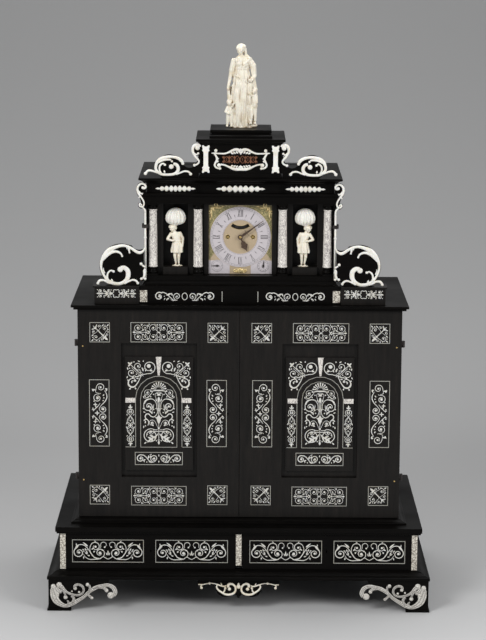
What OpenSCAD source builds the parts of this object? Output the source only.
// Cabinet with a clock on top: stand with two drawers, two-door case, columned clock stage,
// attic with a statue. Origin: floor centre below the stand, front faces look along -Y.

/* [Stand] */
// Height of the bracket feet
foot_h = 80; // [60:1:110]
// Length of each foot bracket along the top
foot_len = 150; // [110:1:190]
// Length of each foot sole on the floor
foot_sole = 56; // [40:1:90]
// Thickness of the foot boards
foot_t = 18; // [12:1:24]
// Height of the flared moulding above the feet
skirt_h = 20; // [14:1:30]
// How far the flared moulding spreads beyond the stand
skirt_flare = 30; // [20:1:40]
// Height of the drawer stage
stand_h = 92; // [80:1:130]
// Thickness of the stand boards
stand_t = 16; // [12:1:18]
// Thickness of the stand floor board
stand_floor_t = 10; // [6:1:14]
// Thickness of the slab on the stand
slab_t = 17; // [14:1:30]
// How far the slab reaches beyond the case at each side
slab_margin_x = 55; // [40:1:80]
// How far the slab reaches beyond the case at front and back
slab_margin_y = 56; // [40:1:80]
// How far the slab overhangs the drawer stage
slab_lip = 10; // [6:1:14]
// Width of the ivory strips on the stand
strip_w = 14; // [8:1:15]
// Thickness of the ivory plates and strips
ivory_t = 2; // [1:0.5:3]

/* [Drawers] */
// Gap round each drawer front
drawer_gap = 1; // [0.6:0.1:2]
// Thickness of the drawer fronts
drawer_front_t = 18; // [14:1:22]
// Thickness of the drawer sides
drawer_side_t = 10; // [7:1:12]
// Thickness of the drawer floor
drawer_floor_t = 5; // [4:1:8]
// Height of the drawer sides
drawer_side_h = 62; // [45:1:66]
// Running gap beside each drawer
drawer_play = 2; // [1:0.5:4]
// Height of the runners under the drawers
runner_h = 3; // [2:0.5:5]

/* [Case] */
// Width of the case
case_w = 800; // [700:1:900]
// Depth of the case with its doors
case_d = 420; // [400:1:480]
// Height of the case between stand slab and top slab
case_h = 540; // [460:1:600]
// Thickness of the case boards
case_t = 18; // [14:1:22]
// Thickness of the doors
door_t = 20; // [16:1:26]
// Height of the moulding round the foot of the case
toe_h = 11; // [8:1:16]
// How far the foot moulding spreads
toe_flare = 18; // [12:1:24]
// Thickness of the top slab
top_t = 12; // [10:1:20]
// How far the top slab overhangs
top_lip = 15; // [10:1:24]
// Thickness of the case floor above the moulding
case_floor_t = 8; // [6:1:12]
// Thickness of the shelves
shelf_t = 12; // [8:1:16]
// How far the shelves stay behind the doors
shelf_back = 24; // [18:1:60]

/* [Doors] */
// Gap round the doors
door_gap = 2; // [1.2:0.1:3]
// Gap between the closed doors and the case
door_seat = 0.4; // [0.3:0.1:1]
// Width of the hinge stiles
stile_w = 107; // [90:1:115]
// Width of the top rails
rail_top = 83; // [60:1:100]
// Width of the bottom rails
rail_bottom = 102; // [80:1:120]
// Depth of the recess in the doors
recess_d = 10; // [7:1:11]
// Side margin round the raised panel
panel_margin = 9; // [6:1:14]
// Margin below the raised panel
panel_foot = 16; // [10:1:22]
// Margin above the raised panel
panel_head = 35; // [20:1:45]
// How far the raised panel stands off the recess
panel_rise = 6; // [4:0.5:6.5]
// Radius of the hinge knuckles
knuckle_r = 4; // [3:0.1:5]
// Radius of the hinge pins
hinge_pin_r = 1.6; // [1.2:0.1:2]
// Height of each hinge
hinge_h = 16; // [14:1:24]
// Running clearance of pins and arbors
play = 0.05; // [0.02:0.01:0.08]
// Height of the lower hinge above the door foot
hinge_low = 100; // [60:1:140]
// Height of the upper hinge below the door head
hinge_high = 86; // [60:1:140]
// Width of the hinge leaves
leaf_w = 15; // [12:1:15]
// Thickness of the hinge leaves
leaf_t = 1.5; // [1:0.1:1.9]
// Height of the keyholes above the door foot
keyhole_up = 265; // [200:1:300]
// Distance of the keyholes from the meeting edge
keyhole_in = 28; // [22:1:36]

/* [Locks] */
// Width of the lock cases
lock_w = 46; // [40:1:60]
// Height of the lock cases
lock_h = 34; // [28:1:44]
// Depth of the lock cases
lock_d = 10; // [8:1:12]
// Height of the lock bolts
bolt_h = 8; // [6:1:10]
// Thickness of the lock bolts
bolt_t = 4; // [3:0.5:5]
// Travel of the lock bolts
bolt_throw = 7; // [5:1:8]
// Clearance round the lock bolts
bolt_play = 0.4; // [0.3:0.1:0.6]
// Distance from the door lock case to the meeting edge
lock_edge = 4; // [3:1:8]

/* [Pedestals] */
// Width of each side pedestal
ped_w = 110; // [100:1:150]
// Depth of each side pedestal
ped_d = 50; // [40:1:80]
// Height of each side pedestal
ped_h = 45; // [35:1:60]
// Thickness of the pedestal cap
ped_cap = 4; // [3:1:6]
// How far the pedestal front stays behind the case front
ped_setback = 7; // [4:1:12]

/* [Plinth] */
// Half width of the clock plinth
plinth_hw = 248; // [240:1:252]
// How far the plinth front stays behind the case front
plinth_setback = 10; // [6:1:20]
// Height of the plinth box
plinth_h = 42; // [36:1:50]
// Height of the hollow moulding on the plinth
cove_h = 14; // [10:1:20]
// How far the hollow moulding steps in
cove_in = 13; // [9:1:14]
// Thickness of the clock stage floor
floor_t = 12; // [10:1:18]

/* [Clock stage] */
// Half width of the clock stage over its sides
stage_hw = 236; // [232:1:240]
// Depth of the clock stage behind its front line
stage_d = 295; // [250:1:330]
// Height of the columns
column_h = 179; // [175:1:190]
// Thickness of the stage sides
side_t = 8; // [6:1:10]
// Radius of the columns
column_r = 12; // [9:0.5:12]
// Half spacing of the outer columns
column_out = 215; // [212:1:215]
// Half spacing of the inner columns
column_in = 104; // [103:1:106]
// Height of the column bases
base_h = 21; // [16:1:26]
// Height of the capitals
capital_h = 15; // [12:1:20]
// Depth of the niches
niche_d = 40; // [30:1:60]
// Width of the strips beside the niches
pilaster_w = 14; // [10:1:16]
// Height of the figure stand in each niche
niche_stand = 19; // [14:1:24]
// Height of the entablature
entab_h = 64; // [56:1:72]
// Thickness of the entablature boards
entab_t = 18; // [14:1:22]
// Width of the frame round the dial
dial_frame_w = 12; // [8:1:12]

/* [Attic] */
// Half width of the attic
attic_hw = 97; // [85:1:105]
// Depth of the attic
attic_d = 180; // [150:1:220]
// Height of the attic above its foot moulding
attic_h = 69; // [60:1:80]
// Height of the attic foot moulding
attic_foot = 12; // [6:1:12]
// Height of the attic cornice
attic_cornice = 15; // [15:1:24]
// Thickness of the attic boards
attic_t = 10; // [8:1:12]
// Height of the lower step
step_low = 8; // [6:1:12]
// Height of the upper step
step_high = 11; // [8:1:14]
// Half width of the upper step
step_hw = 75; // [65:1:80]
// Depth of the upper step
step_d = 132; // [110:1:140]
// Height of the statue
statue_h = 207; // [180:1:230]

/* [Scroll boards] */
// Thickness of the scroll boards
scroll_t = 8; // [6:1:10]
// Radius of the big volute
volute_r = 53; // [48:0.5:53]
// Radius of the crest volute
crest_r = 33; // [28:0.5:34]

/* [Dial] */
// Width of the dial plate
dial_w = 156; // [150:1:160]
// Thickness of the dial plate
dial_t = 2.5; // [2:0.5:3]
// Height of the dial centre above the stage floor
dial_up = 93; // [91:1:95]
// Outer radius of the hour ring
ring_out = 75; // [70:0.5:75]
// Inner radius of the hour ring
ring_in = 42; // [38:0.5:44]
// Thickness of the silvered rings
ring_t = 1.2; // [0.8:0.1:1.5]
// Side distance of the small dials
small_dial_x = 57; // [57:0.5:60]
// Distance of the small dials below the dial centre
small_dial_down = 72; // [72:0.5:74]
// Radius of the small dials
small_dial_r = 15; // [12:0.5:15]
// Side distance of the winding holes
wind_x = 31; // [30:0.5:32]
// Radius of the winding holes
wind_r = 5; // [4.8:0.1:6]

/* [Movement] */
// Width of the movement plates
plate_w = 134; // [132:1:140]
// Height of the movement plates
plate_h = 150; // [148:1:154]
// Thickness of the movement plates
plate_t = 3; // [2:0.5:4]
// Distance between the movement plates
plate_gap = 56; // [50:1:60]
// Distance from the dial to the movement
dial_gap = 16; // [14:1:20]
// Radius of the movement pillars
pillar_r = 4; // [3:0.5:5]
// Radius of the minute arbor
minute_r = 2; // [1.5:0.1:2]
// Outer radius of the hour pipe
pipe_r = 3.6; // [3.4:0.1:4]
// Radius of the spring barrels
barrel_r = 24; // [20:0.5:25]
// Radius of the winding arbors
wind_arbor_r = 3.5; // [3:0.1:3.8]
// Height of the pendulum pivot above the dial centre
pivot_up = 58; // [56:1:60]
// Length of the pendulum
pendulum_len = 128; // [118:1:130]
// Radius of the pendulum bob
bob_r = 14; // [10:1:16]
// Length of the small rod that carries the bob in the dial
mock_len = 35; // [34:0.5:37]
// Radius of the bob in the dial
mock_r = 4; // [3:0.5:4]
// Tilt of the rod that carries the bob in the dial
mock_tilt = 14; // [8:1:16]
// Radius of the bell
bell_r = 26; // [22:1:28]

/* [Hidden] */
$fn = 48;

ebony = "#1b1613";
ivory = "#ece4cf";
iron = "#2a2a2c";
brass = "#c9a24a";
silver = "#cfccc4";
oak = "#7a5a3a";

z_stand = foot_h + skirt_h;
z_slab = z_stand + stand_h;
z_case = z_slab + slab_t;
z_top = z_case + case_h;
z_roof = z_top + top_t;
case_hw = case_w / 2;
foot_mount_k = min(foot_len / 150, foot_h / 80);
pendant_k = foot_h / 80;
front_y = -case_d / 2;
back_y = case_d / 2;
carcase_y = front_y + door_t;
keyhole_x = keyhole_in + door_gap / 4;
slab_hw = case_hw + slab_margin_x;
slab_hd = case_d / 2 + slab_margin_y;
stand_hw = slab_hw - slab_lip;
stand_hd = slab_hd - slab_lip;
skirt_hw = stand_hw + skirt_flare;
skirt_hd = stand_hd + skirt_flare;
partition_hw = strip_w / 2 + 1;
bay_in = partition_hw;
bay_out = stand_hw - stand_t;
drawer_z = z_stand + stand_floor_t + runner_h + 0.3;
drawer_back = stand_hd - stand_t - 40;
drawer_mid = (bay_in + bay_out) / 2;
door_z = z_case + toe_h + door_gap;
door_h = z_top - door_gap - door_z;
door_back = carcase_y - door_seat;
hinge_x = case_hw + knuckle_r + 0.5;
lock_z = door_z + keyhole_up;
cove_band = 3 * cove_in;
plinth_y = front_y + plinth_setback;
z_plinth = z_roof + plinth_h;
z_floor = z_plinth + cove_h;
z_col = z_floor + floor_t;
stage_y = plinth_y + cove_in + 6;
stage_back = stage_y + stage_d;
frieze_hw = stage_hw - 7;
z_entab = z_col + column_h;
z_cornice = z_entab + entab_h;
column_y = stage_y + 9;
facade_y = column_y + column_r + 2;
ped_y = front_y + ped_setback;
ped_in = plinth_hw;
z_ped = z_roof + ped_h;
attic_y = stage_y - 9;
attic_mid = attic_y + attic_d / 2;
z_attic = z_cornice + attic_foot;
z_attic_top = z_attic + attic_h + attic_cornice;
z_step = z_attic_top + step_low + step_high;
scroll_y = ped_y + 6;
crest_y = attic_y - 4;
dial_y = facade_y + 1;
dial_z = z_col + dial_up;
dial_top = z_entab - 7;
front_plate_y = dial_y + dial_t + dial_gap;
back_plate_y = front_plate_y + plate_t + plate_gap;
seat_t = 12;
plate_z = z_col + seat_t;
pivot_z = dial_z + pivot_up;
hammer_x = plate_w / 2 - 20;
hammer_z = pivot_z - 12;
cover_hw = 80;
cover_z0 = z_col + 14;
cover_z1 = z_entab - 8;
cover_t = 8;

// Shared shapes
module block(x0, x1, y0, y1, z0, z1)
    translate([x0, y0, z0]) cube([x1 - x0, y1 - y0, z1 - z0]);

module pair() {
    children();
    mirror([1, 0, 0]) children();
}

module upright(y, t) translate([0, y + t, 0]) rotate([90, 0, 0]) linear_extrude(t) children();

module keyhole(x, z, y0, y1) upright(y0 - 1, y1 - y0 + 2) translate([x, z]) {
    circle(r = 1.8);
    translate([-0.9, -5]) square([1.8, 5]);
}

module rod_y(x, z, y0, y1, r) translate([x, y0, z]) rotate([-90, 0, 0]) cylinder(h = y1 - y0, r = r);

function wave(o0, z0, o1, z1, n = 6) =
    [for (i = [0:n]) [o0 + (o1 - o0) * i / n, z0 + (z1 - z0) * (i / n - 0.13 * sin(360 * i / n))]];

function arc(c, r0, r1, a0, a1, n = 10) =
    [for (i = [0:n]) let (a = a0 + (a1 - a0) * i / n) c + (r0 + (r1 - r0) * i / n) * [cos(a), sin(a)]];

function side(p, i, w0, w1, wm, s) =
    let (n = len(p) - 1, d = p[min(i + 1, n)] - p[max(i - 1, 0)])
    p[i] + s / norm(d) * (w0 + (w1 - w0) * i / n + wm * sin(180 * i / n)) / 2 * [-d[1], d[0]];

module stroke(p, w0, w1, wm = 0)
    polygon(concat([for (i = [0:len(p) - 1]) side(p, i, w0, w1, wm, 1)],
        [for (i = [len(p) - 1:-1:0]) side(p, i, w0, w1, wm, -1)]));

function outline_between(a, b, prof) =
    concat([for (p = prof) [b + p[0], p[1]]],
        [for (i = [len(prof) - 1:-1:0]) [a - prof[i][0], prof[i][1]]]);

module moulded_ring(hw, y0, y1, t, prof) {
    spare = 60;
    foot = prof[0][1];
    top = prof[len(prof) - 1][1];
    difference() {
        intersection() {
            translate([0, y1 + spare, 0]) rotate([90, 0, 0])
                linear_extrude(y1 - y0 + 2 * spare) polygon(outline_between(-hw, hw, prof));
            translate([-hw - spare, 0, 0]) rotate([90, 0, 90])
                linear_extrude(2 * hw + 2 * spare) polygon(outline_between(y0, y1, prof));
        }
        block(-hw + t, hw - t, y0 + t, y1 - t, foot - 1, top + 1);
    }
}

// Stand
module foot_outline() {
    w = foot_len - foot_sole;
    rise = [[0.01, 0.15], [0.17, 0.27], [0.34, 0.41], [0.48, 0.56], [0.64, 0.7], [0.81, 0.78],
        [0.94, 0.83], [1, 0.9], [1, 1]];
    polygon(concat([[0, 0], [foot_sole, 0]], [for (r = rise) [foot_sole + w * r[0], foot_h * r[1]]],
        [[0, foot_h]]));
}

module one_foot() {
    edge = skirt_hw - 3;
    deep = skirt_hd - 3;
    translate([edge, 0, 0]) mirror([1, 0, 0]) upright(-deep, foot_t) foot_outline();
    translate([edge - foot_t, -deep, 0]) rotate([90, 0, 90]) linear_extrude(foot_t) foot_outline();
    block(edge - foot_sole, edge + 3, -deep - 3, -deep + foot_t, 0, 5);
    block(edge - foot_t, edge + 3, -deep - 3, -deep + foot_sole, 0, 5);
}

module bracket_feet() {
    color(ebony)
    for (s = [0, 1]) mirror([0, s, 0]) pair() one_foot();
}

module foot_mount_outline() {
    stroke(arc([30, 34], 21, 23, 120, 318, 14), 9, 12, 4);
    stroke(concat(wave(50, 20, 104, 58, 6), arc([136, 41], 27, 23, 130, 10, 8)), 11, 9, 2);
    translate([156, 38]) circle(r = 7);
    stroke(arc([86, 56], 11, 10, 210, 20, 8), 6, 4);
    stroke([[12, 52], [24, 63], [40, 57], [60, 34]], 13, 11);
    translate([32, 32]) circle(r = 8);
}

module foot_mounts() {
    color(silver)
    pair() translate([skirt_hw - 3, 0, 0]) mirror([1, 0, 0])
        upright(-skirt_hd + 3 - ivory_t, ivory_t)
            translate([0, foot_h - 1.5 - 77 * foot_mount_k]) scale(foot_mount_k) foot_mount_outline();
}

module pendant_scrolls(grow) translate([0, foot_h - 3 * pendant_k]) scale(pendant_k) pair() {
    stroke(concat([[54, -16]], arc([31, -22], 24, 15, 10, -130, 8)), 4 + grow, 6 + grow);
    stroke(arc([17, -21], 10, 12, 225, 20, 7), 6 + grow, 6 + grow);
    translate([22, -22]) circle(r = 4 + grow / 2);
    stroke([[52, -13], [60, -10], [72, -8], [88, -11], [100, -12]], 4 + grow, 4 + grow);
    translate([91, -18]) circle(r = 4 + grow / 2);
    stroke([[91, -18], [92, -12]], 4 + grow, 4 + grow);
    translate([0, -18]) circle(r = 5.6 + grow / 2);
    translate([4, -16]) circle(r = 5 + grow / 2);
}

module pendant() {
    half = [[100, 0], [102, -13], [60, -16], [50, -28], [26, -42], [9, -38], [0, -50]];
    rest = [for (i = [5:-1:0]) [-half[i][0], half[i][1]]];
    color(ebony) upright(-skirt_hd + 14, 6) intersection() {
        union() {
            pendant_scrolls(2);
            translate([0, foot_h]) scale(pendant_k) polygon(concat(half, rest));
        }
        translate([-120 * pendant_k, foot_h - 60 * pendant_k]) square([240 * pendant_k, 60 * pendant_k]);
    }
}

module pendant_mount() {
    color(ivory) upright(-skirt_hd + 14 - ivory_t, ivory_t) pendant_scrolls(0);
}

module base_moulding() {
    z0 = foot_h;
    color(ebony) moulded_ring(stand_hw, -stand_hd, stand_hd, stand_t,
        concat([[skirt_flare, z0], [skirt_flare, z0 + skirt_h * 0.35]],
            wave(skirt_flare - 2, z0 + skirt_h * 0.42, 3, z0 + skirt_h * 0.92), [[0, z_stand]]));
}

module stand_carcase() {
    color(ebony) pair() block(bay_out, stand_hw, -stand_hd, stand_hd, z_stand, z_slab);
    color(ebony) block(-bay_out, bay_out, stand_hd - stand_t, stand_hd, z_stand, z_slab);
    color(ebony) block(-partition_hw, partition_hw, -stand_hd, stand_hd - stand_t,
        z_stand + stand_floor_t, z_slab);
    color(oak) block(-bay_out, bay_out, -stand_hd + drawer_front_t + 2, stand_hd - stand_t,
        z_stand, z_stand + stand_floor_t);
}

module drawer_runners() {
    runner_w = 14;
    color(oak) pair() {
        block(bay_in, bay_in + runner_w, -stand_hd + drawer_front_t + 4, stand_hd - stand_t,
            z_stand + stand_floor_t, z_stand + stand_floor_t + runner_h);
        block(bay_out - runner_w, bay_out, -stand_hd + drawer_front_t + 4, stand_hd - stand_t,
            z_stand + stand_floor_t, z_stand + stand_floor_t + runner_h);
    }
}

module base_pilasters() {
    y = -stand_hd - ivory_t;
    color(ivory) pair() block(stand_hw - strip_w - 1, stand_hw - 1, y, -stand_hd, z_stand, z_slab - 1);
    color(ivory) block(-strip_w / 2, strip_w / 2, y, -stand_hd, z_stand + stand_floor_t, z_slab - 1);
}

module stand_slab() {
    pocket_x = bolt_h + 2 * bolt_play + 1;
    pocket_y = bolt_t + 2 * bolt_play + 1;
    color(ebony) difference() {
        union() {
            block(-slab_hw, slab_hw, -slab_hd, slab_hd, z_slab + 5, z_case);
            block(-slab_hw + 3, slab_hw - 3, -slab_hd + 3, slab_hd - 3, z_slab, z_slab + 5);
        }
        pair() translate([drawer_mid - pocket_x / 2, drawer_bolt_y - 0.5 - bolt_play, z_slab - 1])
            cube([pocket_x, pocket_y, bolt_throw + 3]);
    }
}

// Drawers
drawer_bolt_y = -stand_hd + drawer_front_t + (lock_d - bolt_t) / 2;
drawer_front_z0 = z_stand + drawer_gap;
drawer_front_z1 = z_slab - drawer_gap;
drawer_lock_z1 = drawer_front_z1 - 3;
drawer_key_z = drawer_lock_z1 - lock_h - 6;

module drawer_front() {
    y1 = -stand_hd + drawer_front_t;
    color(ebony) difference() {
        block(bay_in + drawer_gap, bay_out - drawer_gap, -stand_hd, y1, drawer_front_z0,
            drawer_front_z1);
        keyhole(drawer_mid, drawer_key_z, -stand_hd, y1);
    }
}

module drawer_box() {
    y0 = -stand_hd + drawer_front_t;
    x0 = bay_in + drawer_play;
    x1 = bay_out - drawer_play;
    z1 = drawer_z + drawer_side_h;
    color(oak) {
        block(x0, x0 + drawer_side_t, y0, drawer_back, drawer_z, z1);
        block(x1 - drawer_side_t, x1, y0, drawer_back, drawer_z, z1);
        block(x0 + drawer_side_t, x1 - drawer_side_t, drawer_back - drawer_side_t, drawer_back,
            drawer_z, z1);
        block(x0 + drawer_side_t, x1 - drawer_side_t, y0, drawer_back - drawer_side_t,
            drawer_z + 2, drawer_z + 2 + drawer_floor_t);
    }
    color(iron) difference() {
        block(drawer_mid - lock_w / 2, drawer_mid + lock_w / 2, y0, y0 + lock_d,
            drawer_lock_z1 - lock_h, drawer_lock_z1);
        block(drawer_mid - bolt_h / 2 - bolt_play, drawer_mid + bolt_h / 2 + bolt_play,
            drawer_bolt_y - bolt_play, drawer_bolt_y + bolt_t + bolt_play,
            drawer_lock_z1 - lock_h * 0.7 - bolt_play, drawer_lock_z1 + 1);
    }
}

module drawer_bolt() {
    color(brass) block(drawer_mid - bolt_h / 2, drawer_mid + bolt_h / 2, drawer_bolt_y,
        drawer_bolt_y + bolt_t, drawer_lock_z1 - lock_h * 0.7, drawer_lock_z1 + 1);
}

module drawer_front_right() drawer_front();
module drawer_front_left() mirror([1, 0, 0]) drawer_front();
module drawer_box_right() drawer_box();
module drawer_box_left() mirror([1, 0, 0]) drawer_box();
module drawer_bolt_right() drawer_bolt();
module drawer_bolt_left() mirror([1, 0, 0]) drawer_bolt();

// Case
module foot_moulding() {
    color(ebony) moulded_ring(case_hw, front_y, back_y, case_t,
        concat([[toe_flare, z_case], [toe_flare, z_case + toe_h * 0.3]],
            wave(toe_flare - 3, z_case + toe_h * 0.4, 3, z_case + toe_h * 0.9, 5),
            [[1, z_case + toe_h]]));
}

module case_sides() {
    color(ebony) pair() block(case_hw - case_t, case_hw, carcase_y, back_y, z_case + toe_h, z_top);
    color(ebony) block(-case_hw + case_t, case_hw - case_t, front_y + case_t, back_y - case_t, z_case,
        z_case + toe_h);
    color(ebony) block(-case_hw + case_t, case_hw - case_t, carcase_y, back_y - case_t, z_case + toe_h,
        z_case + toe_h + case_floor_t);
}

module case_back() {
    color(oak) block(-case_hw + case_t, case_hw - case_t, back_y - case_t, back_y, z_case + toe_h,
        z_top);
}

module case_shelves() {
    floor_z = z_case + toe_h + case_floor_t;
    pitch = (z_top - floor_z) / 3;
    for (i = [1, 2]) {
        z = floor_z + i * pitch;
        color(oak) block(-case_hw + case_t + 0.3, case_hw - case_t - 0.3, carcase_y + shelf_back,
            back_y - case_t, z, z + shelf_t);
        color(oak) pair() block(case_hw - case_t - 12, case_hw - case_t, carcase_y + shelf_back,
            back_y - case_t, z - 12, z);
    }
}

module top_slab() {
    color(ebony) block(-case_hw - top_lip, case_hw + top_lip, front_y - top_lip, back_y,
        z_top + top_t / 2, z_roof);
    color(ebony) block(-case_hw - top_lip * 0.6, case_hw + top_lip * 0.6, front_y - top_lip * 0.6,
        back_y, z_top, z_top + top_t / 2);
}

// Doors
hinge_zs = [door_z + hinge_low - hinge_h / 2, door_z + door_h - hinge_high - hinge_h / 2];

module case_hinges() {
    color(iron) pair() for (z = hinge_zs) {
        translate([hinge_x, carcase_y, z]) cylinder(h = hinge_h / 2 - 0.2, r = knuckle_r);
        translate([hinge_x, carcase_y, z]) cylinder(h = hinge_h - 0.5, r = hinge_pin_r);
        block(case_hw, case_hw + leaf_t, carcase_y + 1, carcase_y + leaf_w, z, z + hinge_h / 2 - 0.2);
        block(case_hw, hinge_x, carcase_y + 1, carcase_y + 2.5, z, z + hinge_h / 2 - 0.2);
    }
}

module door_hinge() {
    color(iron) for (z = hinge_zs) difference() {
        union() {
            translate([hinge_x, carcase_y, z + hinge_h / 2 + 0.2])
                cylinder(h = hinge_h / 2, r = knuckle_r);
            block(case_hw - door_gap / 4, case_hw + leaf_t, carcase_y - leaf_w, carcase_y - 1,
                z + hinge_h / 2 + 0.2, z + hinge_h);
            block(case_hw, hinge_x, carcase_y - 2.5, carcase_y - 1, z + hinge_h / 2 + 0.2, z + hinge_h);
        }
        translate([hinge_x, carcase_y, z + hinge_h / 2 - 1])
            cylinder(h = hinge_h / 2 + 1, r = hinge_pin_r + play);
    }
}

module door_frame() {
    x0 = door_gap / 4;
    x1 = case_hw - door_gap / 4;
    xi = x0 + stile_w - 2;
    xo = x1 - stile_w;
    zb = door_z + rail_bottom;
    zt = door_z + door_h - rail_top;
    color(ebony) difference() {
        union() {
            block(x0, xi, front_y, door_back, door_z, door_z + door_h);
            block(xo, x1, front_y, door_back, door_z, door_z + door_h);
            block(xi, xo, front_y, door_back, door_z, zb);
            block(xi, xo, front_y, door_back, zt, door_z + door_h);
        }
        keyhole(keyhole_x, lock_z, front_y, door_back);
    }
}

module door_panel() {
    xi = door_gap / 4 + stile_w - 2;
    xo = case_hw - door_gap / 4 - stile_w;
    zb = door_z + rail_bottom;
    zt = door_z + door_h - rail_top;
    color(ebony) block(xi, xo, front_y + recess_d, door_back, zb, zt);
    color(ebony) block(xi + panel_margin, xo - panel_margin, front_y + recess_d - panel_rise,
        front_y + recess_d, zb + panel_foot, zt - panel_head);
}

module bolt_slot(z, reach)
    block(lock_edge - 1, lock_edge + reach, door_back + 2 - bolt_play,
        door_back + 2 + bolt_t + bolt_play, z - bolt_h / 2 - bolt_play, z + bolt_h / 2 + bolt_play);

module door_lock(up) {
    x0 = lock_edge;
    color(iron) difference() {
        block(x0, x0 + lock_w, door_back, door_back + lock_d, lock_z - lock_h / 2, lock_z + lock_h / 2);
        bolt_slot(lock_z + up * lock_h / 4, lock_w * 0.6 + bolt_play);
        bolt_slot(lock_z - up * lock_h / 4, bolt_throw);
        keyhole(keyhole_x, lock_z, door_back, door_back + 0.5);
    }
}

module door_bolt(up) {
    bz = lock_z + up * lock_h / 4;
    color(brass) block(lock_edge - 2, lock_edge + lock_w * 0.6, door_back + 2, door_back + 2 + bolt_t,
        bz - bolt_h / 2, bz + bolt_h / 2);
}

module door_frame_right() door_frame();
module door_frame_left() mirror([1, 0, 0]) door_frame();
module door_panel_right() door_panel();
module door_panel_left() mirror([1, 0, 0]) door_panel();
module door_hinge_right() door_hinge();
module door_hinge_left() mirror([1, 0, 0]) door_hinge();
module door_lock_right() door_lock(-1);
module door_lock_left() mirror([1, 0, 0]) door_lock(1);
module door_bolt_right() door_bolt(-1);
module door_bolt_left() mirror([1, 0, 0]) door_bolt(1);

// Clock stage
module side_pedestals() {
    color(ebony) pair() {
        block(ped_in, ped_in + ped_w, ped_y, ped_y + ped_d, z_roof, z_ped - ped_cap);
        block(ped_in, ped_in + ped_w + 4, ped_y - 3, ped_y + ped_d + 3, z_ped - ped_cap, z_ped);
    }
}

module clock_plinth() {
    y1 = stage_back + cove_in + 6;
    color(ebony) block(-plinth_hw, plinth_hw, plinth_y, y1, z_roof, z_plinth);
    color(ebony) moulded_ring(plinth_hw - cove_in, plinth_y + cove_in, y1 - cove_in, cove_band,
        concat([[cove_in, z_plinth], [cove_in, z_plinth + 2]],
            arc([cove_in - 1, z_floor], cove_in - 2, cove_in - 2, 270, 180, 6), [[0, z_floor]]));
}

module plinth_blocks() {
    color(ivory) pair() block(plinth_hw - 20, plinth_hw - 2, plinth_y - ivory_t, plinth_y, z_roof + 5,
        z_plinth - 8);
}

cover_axis_x = cover_hw - 2;
cover_axis_y = stage_back + 3.4;
cover_hinge_zs = [cover_z0 + 14, cover_z1 - 30];
cover_pin_r = 1.2;

module stage_case() {
    y1 = stage_back;
    hw = stage_hw;
    color(ebony) block(-hw + 3, hw - 3, stage_y - 5, y1, z_floor, z_col);
    color(ebony) pair() block(hw - side_t, hw, stage_y - 5, y1, z_col, z_entab);
    color(ebony) pair() block(cover_hw + 1, hw - side_t, y1 - cover_t, y1, z_col, z_entab);
    color(ebony) block(-cover_hw - 1, cover_hw + 1, y1 - cover_t, y1, z_col, cover_z0 - 1);
    color(ebony) block(-cover_hw - 1, cover_hw + 1, y1 - cover_t, y1, cover_z1 + 1, z_entab);
    color(oak) block(-plate_w / 2 - 4, plate_w / 2 + 4, front_plate_y - 4, back_plate_y + plate_t + 2,
        z_col, plate_z);
    color(iron) pair() block(hw, hw + 5, stage_y - 4, stage_y + 4, z_entab - 60, z_entab - 50);
    color(iron) for (z = cover_hinge_zs) {
        translate([cover_axis_x, cover_axis_y, z]) cylinder(h = 7.8, r = 3);
        translate([cover_axis_x, cover_axis_y, z]) cylinder(h = 15.5, r = cover_pin_r);
        block(cover_axis_x, cover_axis_x + 14, y1, y1 + 1.5, z, z + 7.8);
    }
}

module stage_front() {
    inner = column_in + column_r;
    outer = column_out - column_r;
    cut = dial_w / 2;
    color(ebony) pair() {
        block(inner - 1, inner - 1 + pilaster_w, facade_y, facade_y + 8, z_col, z_entab);
        block(outer + 1 - pilaster_w, outer + 1, facade_y, facade_y + 8, z_col, z_entab);
        block(inner - 1, inner + 7, facade_y + 8, facade_y + niche_d, z_col, z_entab);
        block(outer - 7, outer + 1, facade_y + 8, facade_y + niche_d, z_col, z_entab);
        block(inner + 7, outer - 7, facade_y + niche_d - 8, facade_y + niche_d, z_col, z_entab);
        block(inner - 1 + pilaster_w, outer + 1 - pilaster_w, facade_y - 8, facade_y + 8, z_col,
            z_col + niche_stand);
        block(inner + 7, outer - 7, facade_y + 8, facade_y + niche_d - 8, z_col, z_col + niche_stand);
        block(outer + 1, stage_hw - side_t, facade_y, facade_y + 8, z_col, z_entab);
        block(cut, cut + dial_frame_w, facade_y - 6, facade_y + 8, z_col, z_entab);
        block(cut + dial_frame_w, inner - 1, facade_y + 2, facade_y + 8, z_col, z_entab);
    }
    color(ebony) block(-cut, cut, facade_y, facade_y + 8, dial_top, z_entab);
}

module column_shaft() rotate_extrude()
    polygon([[0, z_col + base_h], [column_r - 0.2, z_col + base_h], [column_r - 0.2, z_col + base_h + 3],
        [column_r - 1, z_col + base_h + 3.8], [column_r - 1, z_col + base_h + 50],
        [column_r - 2.2, z_entab - capital_h - 3], [column_r - 1.4, z_entab - capital_h - 2.4],
        [column_r - 1.4, z_entab - capital_h], [0, z_entab - capital_h]]);

module column_end() rotate_extrude()
    polygon(concat([[0, z_col + 5], [column_r - 0.6, z_col + 5]],
        arc([column_r - 3.4, z_col + 9], 4, 4, -60, 60, 5),
        [[column_r - 2, z_col + 13], [column_r - 2, z_col + 16]],
        arc([column_r - 2.6, z_col + 18.4], 2.4, 2.4, -60, 60, 4), [[column_r - 1.5, z_col + base_h],
        [0, z_col + base_h]]));

module column_places()
    for (s = [-1, 1], x = [column_in, column_out]) translate([s * x, column_y, 0]) children();

module column_shafts() {
    color(ivory) column_places() column_shaft();
}

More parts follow.
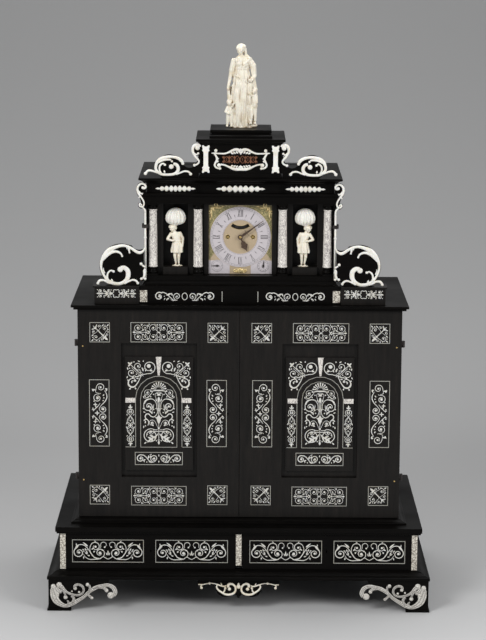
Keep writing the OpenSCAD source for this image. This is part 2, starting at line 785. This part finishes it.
module column_ends() {
    cap_z = z_entab - capital_h;
    color(ebony) column_places() {
        column_end();
        translate([-column_r - 0.5, -column_r - 0.5, z_col])
            cube([2 * column_r + 1, 2 * column_r + 1, 5]);
        rotate_extrude() polygon(concat([[0, cap_z], [column_r - 1.5, cap_z], [column_r - 1, cap_z + 3]],
            arc([column_r - 2.4, cap_z + capital_h - 9], 3.4, 2, -40, 60, 5),
            [[column_r - 1, z_entab - 4], [0, z_entab - 4]]));
        translate([-column_r - 0.5, -column_r - 0.5, z_entab - 4])
            cube([2 * column_r + 1, 2 * column_r + 1, 4]);
    }
}

module niche_figure() {
    z0 = z_col + niche_stand;
    color(ivory) translate([0, 0, z0]) scale(column_h / 179) {
        translate([-7, -7, 0]) cube([14, 14, 3]);
        for (s = [-1, 1]) translate([4 * s, 0, 2]) cylinder(h = 36, r1 = 2.6, r2 = 4.6);
        translate([0, 0, 34]) cylinder(h = 26, r1 = 13, r2 = 8.5);
        translate([0, 0, 58]) cylinder(h = 20, r1 = 9, r2 = 10.5);
        translate([0, 0, 77.9]) cylinder(h = 5, r1 = 10, r2 = 4);
        for (s = [-1, 1]) translate([10 * s, -1, 76]) rotate([10, 160 * s, 0]) cylinder(h = 26, r = 3);
        for (s = [-1, 1]) translate([18 * s, -3, 54]) rotate([30, -60 * s, 0]) cylinder(h = 14, r = 2.6);
        translate([5, -1, 92]) sphere(r = 9);
        translate([1, 0, 97]) cylinder(h = 10, r1 = 8, r2 = 15);
        translate([0, 0, 106.9]) cylinder(h = 12, r1 = 15, r2 = 24);
        translate([0, 0, 118.8]) cylinder(h = 19, r1 = 24, r2 = 14);
    }
}

module niche_figures() {
    x = (column_in + column_out) / 2;
    pair() translate([x, facade_y + 6, 0]) niche_figure();
}

module entablature() {
    u = entab_h / 64;
    z0 = z_entab;
    z1 = z_cornice;
    color(ebony) moulded_ring(frieze_hw, stage_y, stage_back - 4, entab_t,
        concat([[5, z0], [5, z0 + 19 * u], [10, z0 + 20 * u], [10, z0 + 25 * u], [0, z0 + 27 * u],
            [0, z1 - 15 * u]], wave(3, z1 - 14 * u, 17, z1 - 6 * u, 5), [[20, z1 - 5 * u], [20, z1]]));
    color(oak) block(-frieze_hw + entab_t - 1, frieze_hw - entab_t + 1, stage_y + entab_t - 1,
        stage_back - 3 - entab_t, z1 - 12, z1 - 1);
}

module spray(len, h) {
    n = 9;
    function reach(t) = h / 2 * (0.28 + 0.72 * sin(180 * t));
    half = [for (i = [0:2 * n]) let (t = i / (2 * n))
        [(t - 0.5) * len, reach(t) * (i % 2 == 0 ? 0.62 : 1)]];
    polygon(concat(half, [for (i = [len(half) - 1:-1:0]) [half[i][0], -half[i][1]]]));
}

module frieze_sprays() {
    z = z_entab + 0.565 * entab_h;
    pitch = column_out - column_in;
    color(ivory) upright(stage_y - ivory_t, ivory_t) {
        translate([0, z]) spray(1.1 * pitch, 0.26 * entab_h);
        for (s = [-1, 1])
            translate([s * (column_in + column_out) / 2, z]) spray(0.88 * pitch, 0.23 * entab_h);
    }
}

module side_strips() {
    x = stage_hw - 3;
    top = z_entab - 9;
    foot = z_floor + 3;
    color(ivory) upright(stage_y - 5 - ivory_t - 1, ivory_t + 1) pair() {
        translate([x - 3, foot]) square([6, top - foot]);
        stroke(concat([[x, top]], wave(x + 3, top + 8, x + 12, top + 34, 5),
            arc([x + 3, top + 47], 12, 7, -30, 200, 8)), 7, 5);
        translate([x + 1, top + 48]) circle(r = 5);
        stroke([[x + 2, top + 8], [x + 10, top + 12], [x + 12, top + 20]], 6, 4);
        stroke(arc([x + 6, foot + 46], 7, 5, -120, 60, 6), 5, 6);
        translate([x + 6, foot + 5]) circle(r = 5);
    }
}

module volute_outline() {
    k = volute_r / 53;
    difference() {
        scale(k) difference() {
            union() {
                translate([56, 50]) circle(r = 53);
                polygon([[0, 0], [95, 0], [56, 10], [56, 102.8], [40, 100.5], [0, 92]]);
            }
            translate([12, 109]) circle(r = 21);
            translate([0, -20]) square([120, 20]);
        }
        translate([-1, -1]) square([plinth_hw - stage_hw + 1, max(1, z_floor - z_ped + 1.3)]);
    }
}

module crest_outline() {
    k = crest_r / 33;
    head = attic_foot + attic_h - 0.4;
    difference() {
        scale(k) difference() {
            union() {
                translate([77, 26]) circle(r = 31);
                polygon([[0, 0], [95, 0], [60, 51], [40, 33], [9, 41], [0, 84]]);
                translate([10, 68]) circle(r = 13);
            }
            translate([28, 43]) circle(r = 18);
            translate([0, -20]) square([120, 20]);
            translate([-12, -30]) square([12, 120]);
        }
        translate([-1, -1]) square([6.4, attic_foot + 1.4]);
        translate([-1, head]) square([40, 40]);
    }
}

module scroll_boards() {
    color(ebony) pair() {
        upright(scroll_y, scroll_t) translate([stage_hw + 0.3, z_ped]) volute_outline();
        upright(crest_y, scroll_t) translate([attic_hw, z_cornice]) crest_outline();
    }
}

module volute_mount() scale(volute_r / 53) {
    stroke(concat([[2, 86]], arc([12, 108], 26, 26, 250, 305, 5),
        arc([56, 50], 48, 46.5, 100, -95, 22)), 6, 5, 5);
    stroke(concat([[44, 13]], arc([54, 33], 17, 11, -50, 160, 10)), 11, 8);
    translate([60, 40]) circle(r = 7);
    stroke(concat([[78, 12]], arc([84, 28], 10, 8, -10, 130, 6)), 6, 4);
    stroke([[86, 88], [76, 88], [62, 84], [56, 74]], 9, 4);
    stroke([[36, 96], [36, 84]], 9, 3);
    stroke([[92, 10], [104, 14], [114, 10], [116, 5]], 5, 5);
    stroke([[96, 14], [80, 7.5], [64, 5.4], [50, 8], [36, 14], [22, 13], [16, 6]], 7, 6, 2);
}

module crest_mount() scale(crest_r / 33) {
    stroke(arc([77, 25], 27, 25, -130, -325, 20), 5, 5, 4);
    translate([49, 35]) circle(r = 4.5);
    stroke(arc([67, 20], 13, 9, -60, 150, 10), 8, 6);
    translate([71, 26]) circle(r = 6);
    stroke(arc([94, 21], 10, 8, 200, 60, 6), 5, 4);
    stroke([[98, 35], [86, 42], [74, 42], [69, 36]], 6, 3);
    stroke([[134, 11], [124, 17], [104, 11], [78, 8], [56, 10], [38, 16], [26, 11]], 6, 6, 2);
    stroke(concat(arc([11, 64], 9, 12, 110, 215, 6), [[5, 48], [9, 40], [14, 33]]), 4, 5);
    translate([9, 68]) circle(r = 5);
}

module scroll_mounts() {
    color(ivory) pair() {
        upright(scroll_y - ivory_t, ivory_t) translate([stage_hw + 0.3, z_ped]) volute_mount();
        upright(crest_y - ivory_t, ivory_t) translate([attic_hw, z_cornice]) crest_mount();
    }
}

// Attic
module attic_case() {
    y0 = attic_y;
    y1 = attic_y + attic_d;
    hw = attic_hw;
    zb = z_attic + attic_h;
    step_hd = step_d / 2;
    foot_hd = step_hd + 12;
    z_slab_foot = z_step - 0.62 * step_high;
    color(ebony) moulded_ring(hw, y0, y1, attic_t,
        concat([[5, z_cornice], [5, z_cornice + 5]], wave(4, z_cornice + 6, 1, z_attic - 1, 3),
            [[0, z_attic]]));
    color(ebony) block(-hw, hw, y0, y0 + attic_t, z_attic, zb);
    color(ebony) block(-hw, hw, y1 - attic_t, y1, z_attic, zb);
    color(ebony) pair() block(hw - attic_t, hw, y0 + attic_t, y1 - attic_t, z_attic, zb);
    color(ebony) moulded_ring(hw, y0, y1, attic_t,
        concat([[0, zb], [3, zb + 2]], wave(3, zb + 3, 9, zb + attic_cornice - 7, 5),
            [[12, zb + attic_cornice - 6], [12, z_attic_top]]));
    color(ebony) block(-hw + attic_t, hw - attic_t, y0 + attic_t, y1 - attic_t, z_attic_top - 10,
        z_attic_top);
    color(ebony) translate([-step_hw - 1.5, 0, 0]) rotate([90, 0, 90])
        linear_extrude(2 * step_hw + 3) translate([attic_mid, z_attic_top])
            polygon([[-foot_hd, 0], [foot_hd, 0], [foot_hd, 0.7 * step_low], [foot_hd - 2, 0.82 * step_low],
                [step_hd - 4, step_low], [4 - step_hd, step_low], [2 - foot_hd, 0.82 * step_low],
                [-foot_hd, 0.7 * step_low]]);
    color(ebony) block(4 - step_hw, step_hw - 4, attic_mid - step_hd + 4, attic_mid + step_hd - 4,
        z_attic_top + step_low, z_slab_foot);
    color(ebony) block(-step_hw, step_hw, attic_mid - step_hd, attic_mid + step_hd, z_slab_foot, z_step);
}

module attic_mounts() {
    zm = z_attic + attic_h / 2;
    color(ivory) upright(attic_y - ivory_t, ivory_t)
        translate([0, zm]) scale([attic_hw / 97, attic_h / 69]) pair() {
            translate([82, -33.5]) square([11, 67]);
            translate([79, -33.5]) square([17, 12]);
            translate([79, 23.5]) square([17, 10]);
            stroke([[0, 27], [18, 26], [44, 18], [66, 19]], 11, 4);
            stroke([[0, -26], [22, -24], [44, -18], [62, -20]], 11, 5);
            stroke([[66, 20], [55, 4], [61, -8], [56, -20]], 8, 7);
        }
}

module statue() {
    y = attic_mid - 2;
    k = 207;
    color(ivory) translate([0, y, z_step]) scale(statue_h / k) {
        hull() {
            translate([-26, 0, 0]) cylinder(h = 4, r = 14, $fn = 20);
            translate([26, 0, 0]) cylinder(h = 4, r = 14, $fn = 20);
        }
        hull() {
            for (s = [-1, 1]) translate([11 * s, 0, 3]) cylinder(h = 1, r = 19, $fn = 24);
            for (s = [-1, 1]) translate([10 * s, 0, 0.62 * k]) cylinder(h = 1, r = 13, $fn = 24);
        }
        hull() {
            for (s = [-1, 1]) translate([10 * s, 0, 0.61 * k]) cylinder(h = 1, r = 13, $fn = 24);
            for (s = [-1, 1]) translate([16 * s, 0, 0.79 * k]) sphere(r = 8, $fn = 20);
            translate([0, 0, 0.84 * k]) cylinder(h = 4, r = 7, $fn = 20);
        }
        translate([0, 0, 0.84 * k]) cylinder(h = 0.08 * k, r = 7);
        translate([0, -2, k - 14]) sphere(r = 13.5, $fn = 32);
        hull() {
            translate([-22, 0, 0.78 * k]) sphere(r = 8, $fn = 18);
            translate([-31, -4, 0.53 * k]) sphere(r = 7, $fn = 18);
        }
        hull() {
            translate([24, 0, 0.78 * k]) sphere(r = 9, $fn = 18);
            translate([31, -4, 0.62 * k]) sphere(r = 9, $fn = 18);
        }
        hull() {
            translate([-30, -4, 3]) cylinder(h = 1, r = 10, $fn = 18);
            translate([-28, -4, 0.32 * k]) sphere(r = 6, $fn = 18);
        }
        hull() {
            translate([30, -4, 3]) cylinder(h = 1, r = 10, $fn = 18);
            translate([31, -4, 0.42 * k]) sphere(r = 8, $fn = 18);
        }
    }
}

// Clock
slot_half = asin(21 / mock_len);

module dial_plate() {
    z0 = z_col + 1;
    color(brass) difference() {
        block(-dial_w / 2 + 0.3, dial_w / 2 - 0.3, dial_y, dial_y + dial_t, z0, dial_top - 0.3);
        rod_y(0, dial_z, dial_y - 1, dial_y + dial_t + 1, pipe_r + 0.5);
        for (s = [-1, 1]) rod_y(s * wind_x, dial_z, dial_y - 1, dial_y + dial_t + 1, wind_r);
        for (s = [-1, 1])
            rod_y(s * small_dial_x, dial_z - small_dial_down, dial_y - 1, dial_y + dial_t + 1, 1 + play);
        upright(dial_y - 1, dial_t + 2) translate([0, pivot_z])
            stroke(arc([0, 0], mock_len, mock_len, 270 - slot_half, 270 + slot_half, 12), 2 * mock_r + 2,
                2 * mock_r + 2);
    }
}

module silvered_rings() {
    color(silver) difference() {
        rod_y(0, dial_z, dial_y - ring_t, dial_y, ring_out);
        rod_y(0, dial_z, dial_y - ring_t - 1, dial_y + 1, ring_in);
    }
    for (s = [-1, 1]) color(silver) difference() {
        rod_y(s * small_dial_x, dial_z - small_dial_down, dial_y - ring_t, dial_y, small_dial_r);
        rod_y(s * small_dial_x, dial_z - small_dial_down, dial_y - ring_t - 1, dial_y + 1, 1 + play);
    }
}

module spandrels() {
    x = dial_w / 2 - 2;
    z = dial_top - 2;
    color(brass) pair() {
        upright(dial_y - 1.5, 1.5) difference() {
            polygon([[x, z], [x - 42, z], [x - 12, z - 12], [x, z - 42]]);
            translate([0, dial_z]) circle(r = ring_out + 1);
        }
    }
    color(brass) upright(dial_y - 1.5, 1.5) intersection() {
        translate([0, z_col + 2]) circle(r = 14);
        translate([-20, z_col + 2]) square([40, 14]);
    }
}

module minute_hand() {
    y0 = dial_y - 8;
    y1 = y0 + 1.2;
    color(iron) {
        translate([0, 0, dial_z]) rotate([0, 54, 0]) upright(y0, 1.2) union() {
            circle(r = 6);
            polygon([[-1.6, 0], [1.6, 0], [3.4, 12], [2.2, 24], [0.6, ring_out - 6], [-0.6, ring_out - 6],
                [-2.2, 24], [-3.4, 12]]);
        }
        rod_y(0, dial_z, y0, back_plate_y + plate_t + 4, minute_r);
    }
}

module hour_hand() {
    y0 = dial_y - 5.6;
    color(iron) difference() {
        union() {
            translate([0, 0, dial_z]) rotate([0, 154.5, 0]) upright(y0, 1.2) union() {
                circle(r = 6);
                polygon([[-2, 0], [2, 0], [2, 14], [9, 24], [3, 32], [0, ring_in - 3], [-3, 32], [-9, 24],
                    [-2, 14]]);
            }
            rod_y(0, dial_z, y0, front_plate_y + plate_t + 3, pipe_r);
        }
        rod_y(0, dial_z, y0 - 1, front_plate_y + plate_t + 4, minute_r + play);
    }
}

module small_hand(turn) {
    y0 = dial_y - ring_t - 2.2;
    color(iron) {
        rod_y(0, 0, y0, dial_y + dial_t + 3, 1);
        rod_y(0, 0, dial_y + dial_t + 1, dial_y + dial_t + 3, 3);
        rotate([0, turn, 0]) upright(y0, 1) union() {
            circle(r = 2.6);
            polygon([[-1.4, -5], [1.4, -5], [0.8, small_dial_r - 4], [0, small_dial_r - 2.5],
                [-0.8, small_dial_r - 4]]);
        }
    }
}

module left_small_hand() translate([-small_dial_x, 0, dial_z - small_dial_down]) small_hand(-90);
module right_small_hand() translate([small_dial_x, 0, dial_z - small_dial_down]) small_hand(8);

module winder(s) {
    y0 = dial_y - 1;
    y1 = back_plate_y + plate_t + 3;
    color(iron) {
        translate([s * wind_x, y0, dial_z]) rotate([-90, 45, 0])
            cylinder(h = 10, r = wind_r - 1, $fn = 4);
        rod_y(s * wind_x, dial_z, y0 + 9, y1, wind_arbor_r);
    }
    color(brass) rod_y(s * wind_x, dial_z, front_plate_y + plate_t + 8, back_plate_y - 8, barrel_r);
}

module left_winder() winder(-1);
module right_winder() winder(1);

module movement_frame() {
    w = plate_w / 2;
    zt = plate_z + plate_h;
    my = (front_plate_y + back_plate_y + plate_t) / 2;
    color(brass) difference() {
        union() {
            for (y = [front_plate_y, back_plate_y]) block(-w, w, y, y + plate_t, plate_z, zt);
        }
        rod_y(0, dial_z, front_plate_y - 1, front_plate_y + plate_t + 1, pipe_r + play);
        rod_y(0, dial_z, back_plate_y - 1, back_plate_y + plate_t + 1, minute_r + play);
        for (s = [-1, 1])
            rod_y(s * wind_x, dial_z, front_plate_y - 1, back_plate_y + plate_t + 1,
                wind_arbor_r + play);
        rod_y(0, pivot_z, front_plate_y - 1, back_plate_y + plate_t + 1, 2 + play);
        rod_y(hammer_x, hammer_z, front_plate_y - 1, back_plate_y + plate_t + 1, 2 + play);
    }
    color(brass) for (sx = [-1, 1], z = [plate_z + 8, zt - 6])
        rod_y(sx * (w - 7), z, front_plate_y + plate_t, back_plate_y, pillar_r);
    color(brass) block(0, 8, front_plate_y + plate_t, back_plate_y, zt - 7, zt - 3);
    color(brass) for (sx = [-1, 1], z = [dial_z - 60, dial_z + 60])
        rod_y(sx * 60, z, dial_y + dial_t, front_plate_y, 2.5);
    color(iron) translate([4, my, zt - 4]) cylinder(h = 14 + bell_r, r = 2);
    color(brass) translate([4, my, zt + 10]) rotate_extrude() difference() {
        polygon(concat(arc([0, 0], bell_r, bell_r, 0, 90, 12), [[0, 0]]));
        polygon(concat(arc([0, 0], bell_r - 2, bell_r - 2, 0, 90, 12), [[0, 0]]));
    }
}

module pendulum() {
    y0 = dial_y + dial_t + 4;
    rear = back_plate_y + plate_t + 8;
    color(iron) rod_y(0, pivot_z, y0, rear + 2, 2);
    color(iron) translate([0, y0 + 1, pivot_z]) rotate([0, 180 + mock_tilt, 0])
        translate([-0.8, -0.8, 0]) cube([1.6, 1.6, mock_len]);
    color(silver) translate([0, 0, pivot_z]) rotate([0, mock_tilt, 0])
        rod_y(0, -mock_len, y0 - 3, y0 + 1, mock_r);
    color(iron) block(-1, 1, rear - 1, rear + 1, pivot_z - pendulum_len, pivot_z);
    color(brass) rod_y(0, pivot_z - pendulum_len + bob_r, rear - 4, rear + 4, bob_r);
}

module hammer() {
    px = hammer_x;
    pz = hammer_z;
    my = (front_plate_y + back_plate_y + plate_t) / 2;
    zt = plate_z + plate_h + 12;
    color(iron) {
        rod_y(px, pz, front_plate_y - 2, back_plate_y + plate_t + 2, 2);
        translate([px - 1.5, my - 1.5, pz]) cube([3, 3, zt - pz]);
        translate([bell_r + 4 + 2, my - 3, zt - 4]) cube([px + 1.5 - bell_r - 6, 6, 6]);
    }
}

module back_door() {
    y1 = stage_back;
    color(ebony) block(-cover_hw, cover_hw, y1 - cover_t, y1, cover_z0, cover_z1);
    color(iron) difference() {
        for (z = cover_hinge_zs) {
            translate([cover_axis_x, cover_axis_y, z + 8.2]) cylinder(h = 8, r = 3);
            block(cover_axis_x - 14, cover_axis_x, y1, y1 + 1.5, z + 8.2, z + 16.2);
        }
        translate([cover_axis_x, cover_axis_y, cover_z0])
            cylinder(h = cover_z1 - cover_z0, r = cover_pin_r + play);
    }
    color(brass) translate([-cover_hw + 14, y1, (cover_z0 + cover_z1) / 2]) rotate([-90, 0, 0])
        cylinder(h = 12, r1 = 3, r2 = 6);
}

bracket_feet();
foot_mounts();
pendant();
pendant_mount();
base_moulding();
stand_carcase();
drawer_runners();
base_pilasters();
stand_slab();
drawer_front_left();
drawer_front_right();
drawer_box_left();
drawer_box_right();
drawer_bolt_left();
drawer_bolt_right();
foot_moulding();
case_sides();
case_back();
case_shelves();
top_slab();
case_hinges();
door_frame_left();
door_frame_right();
door_panel_left();
door_panel_right();
door_hinge_left();
door_hinge_right();
door_lock_left();
door_lock_right();
door_bolt_left();
door_bolt_right();
side_pedestals();
clock_plinth();
plinth_blocks();
stage_case();
stage_front();
column_shafts();
column_ends();
niche_figures();
entablature();
frieze_sprays();
side_strips();
scroll_boards();
scroll_mounts();
attic_case();
attic_mounts();
statue();
dial_plate();
silvered_rings();
spandrels();
minute_hand();
hour_hand();
left_small_hand();
right_small_hand();
left_winder();
right_winder();
movement_frame();
pendulum();
hammer();
back_door();
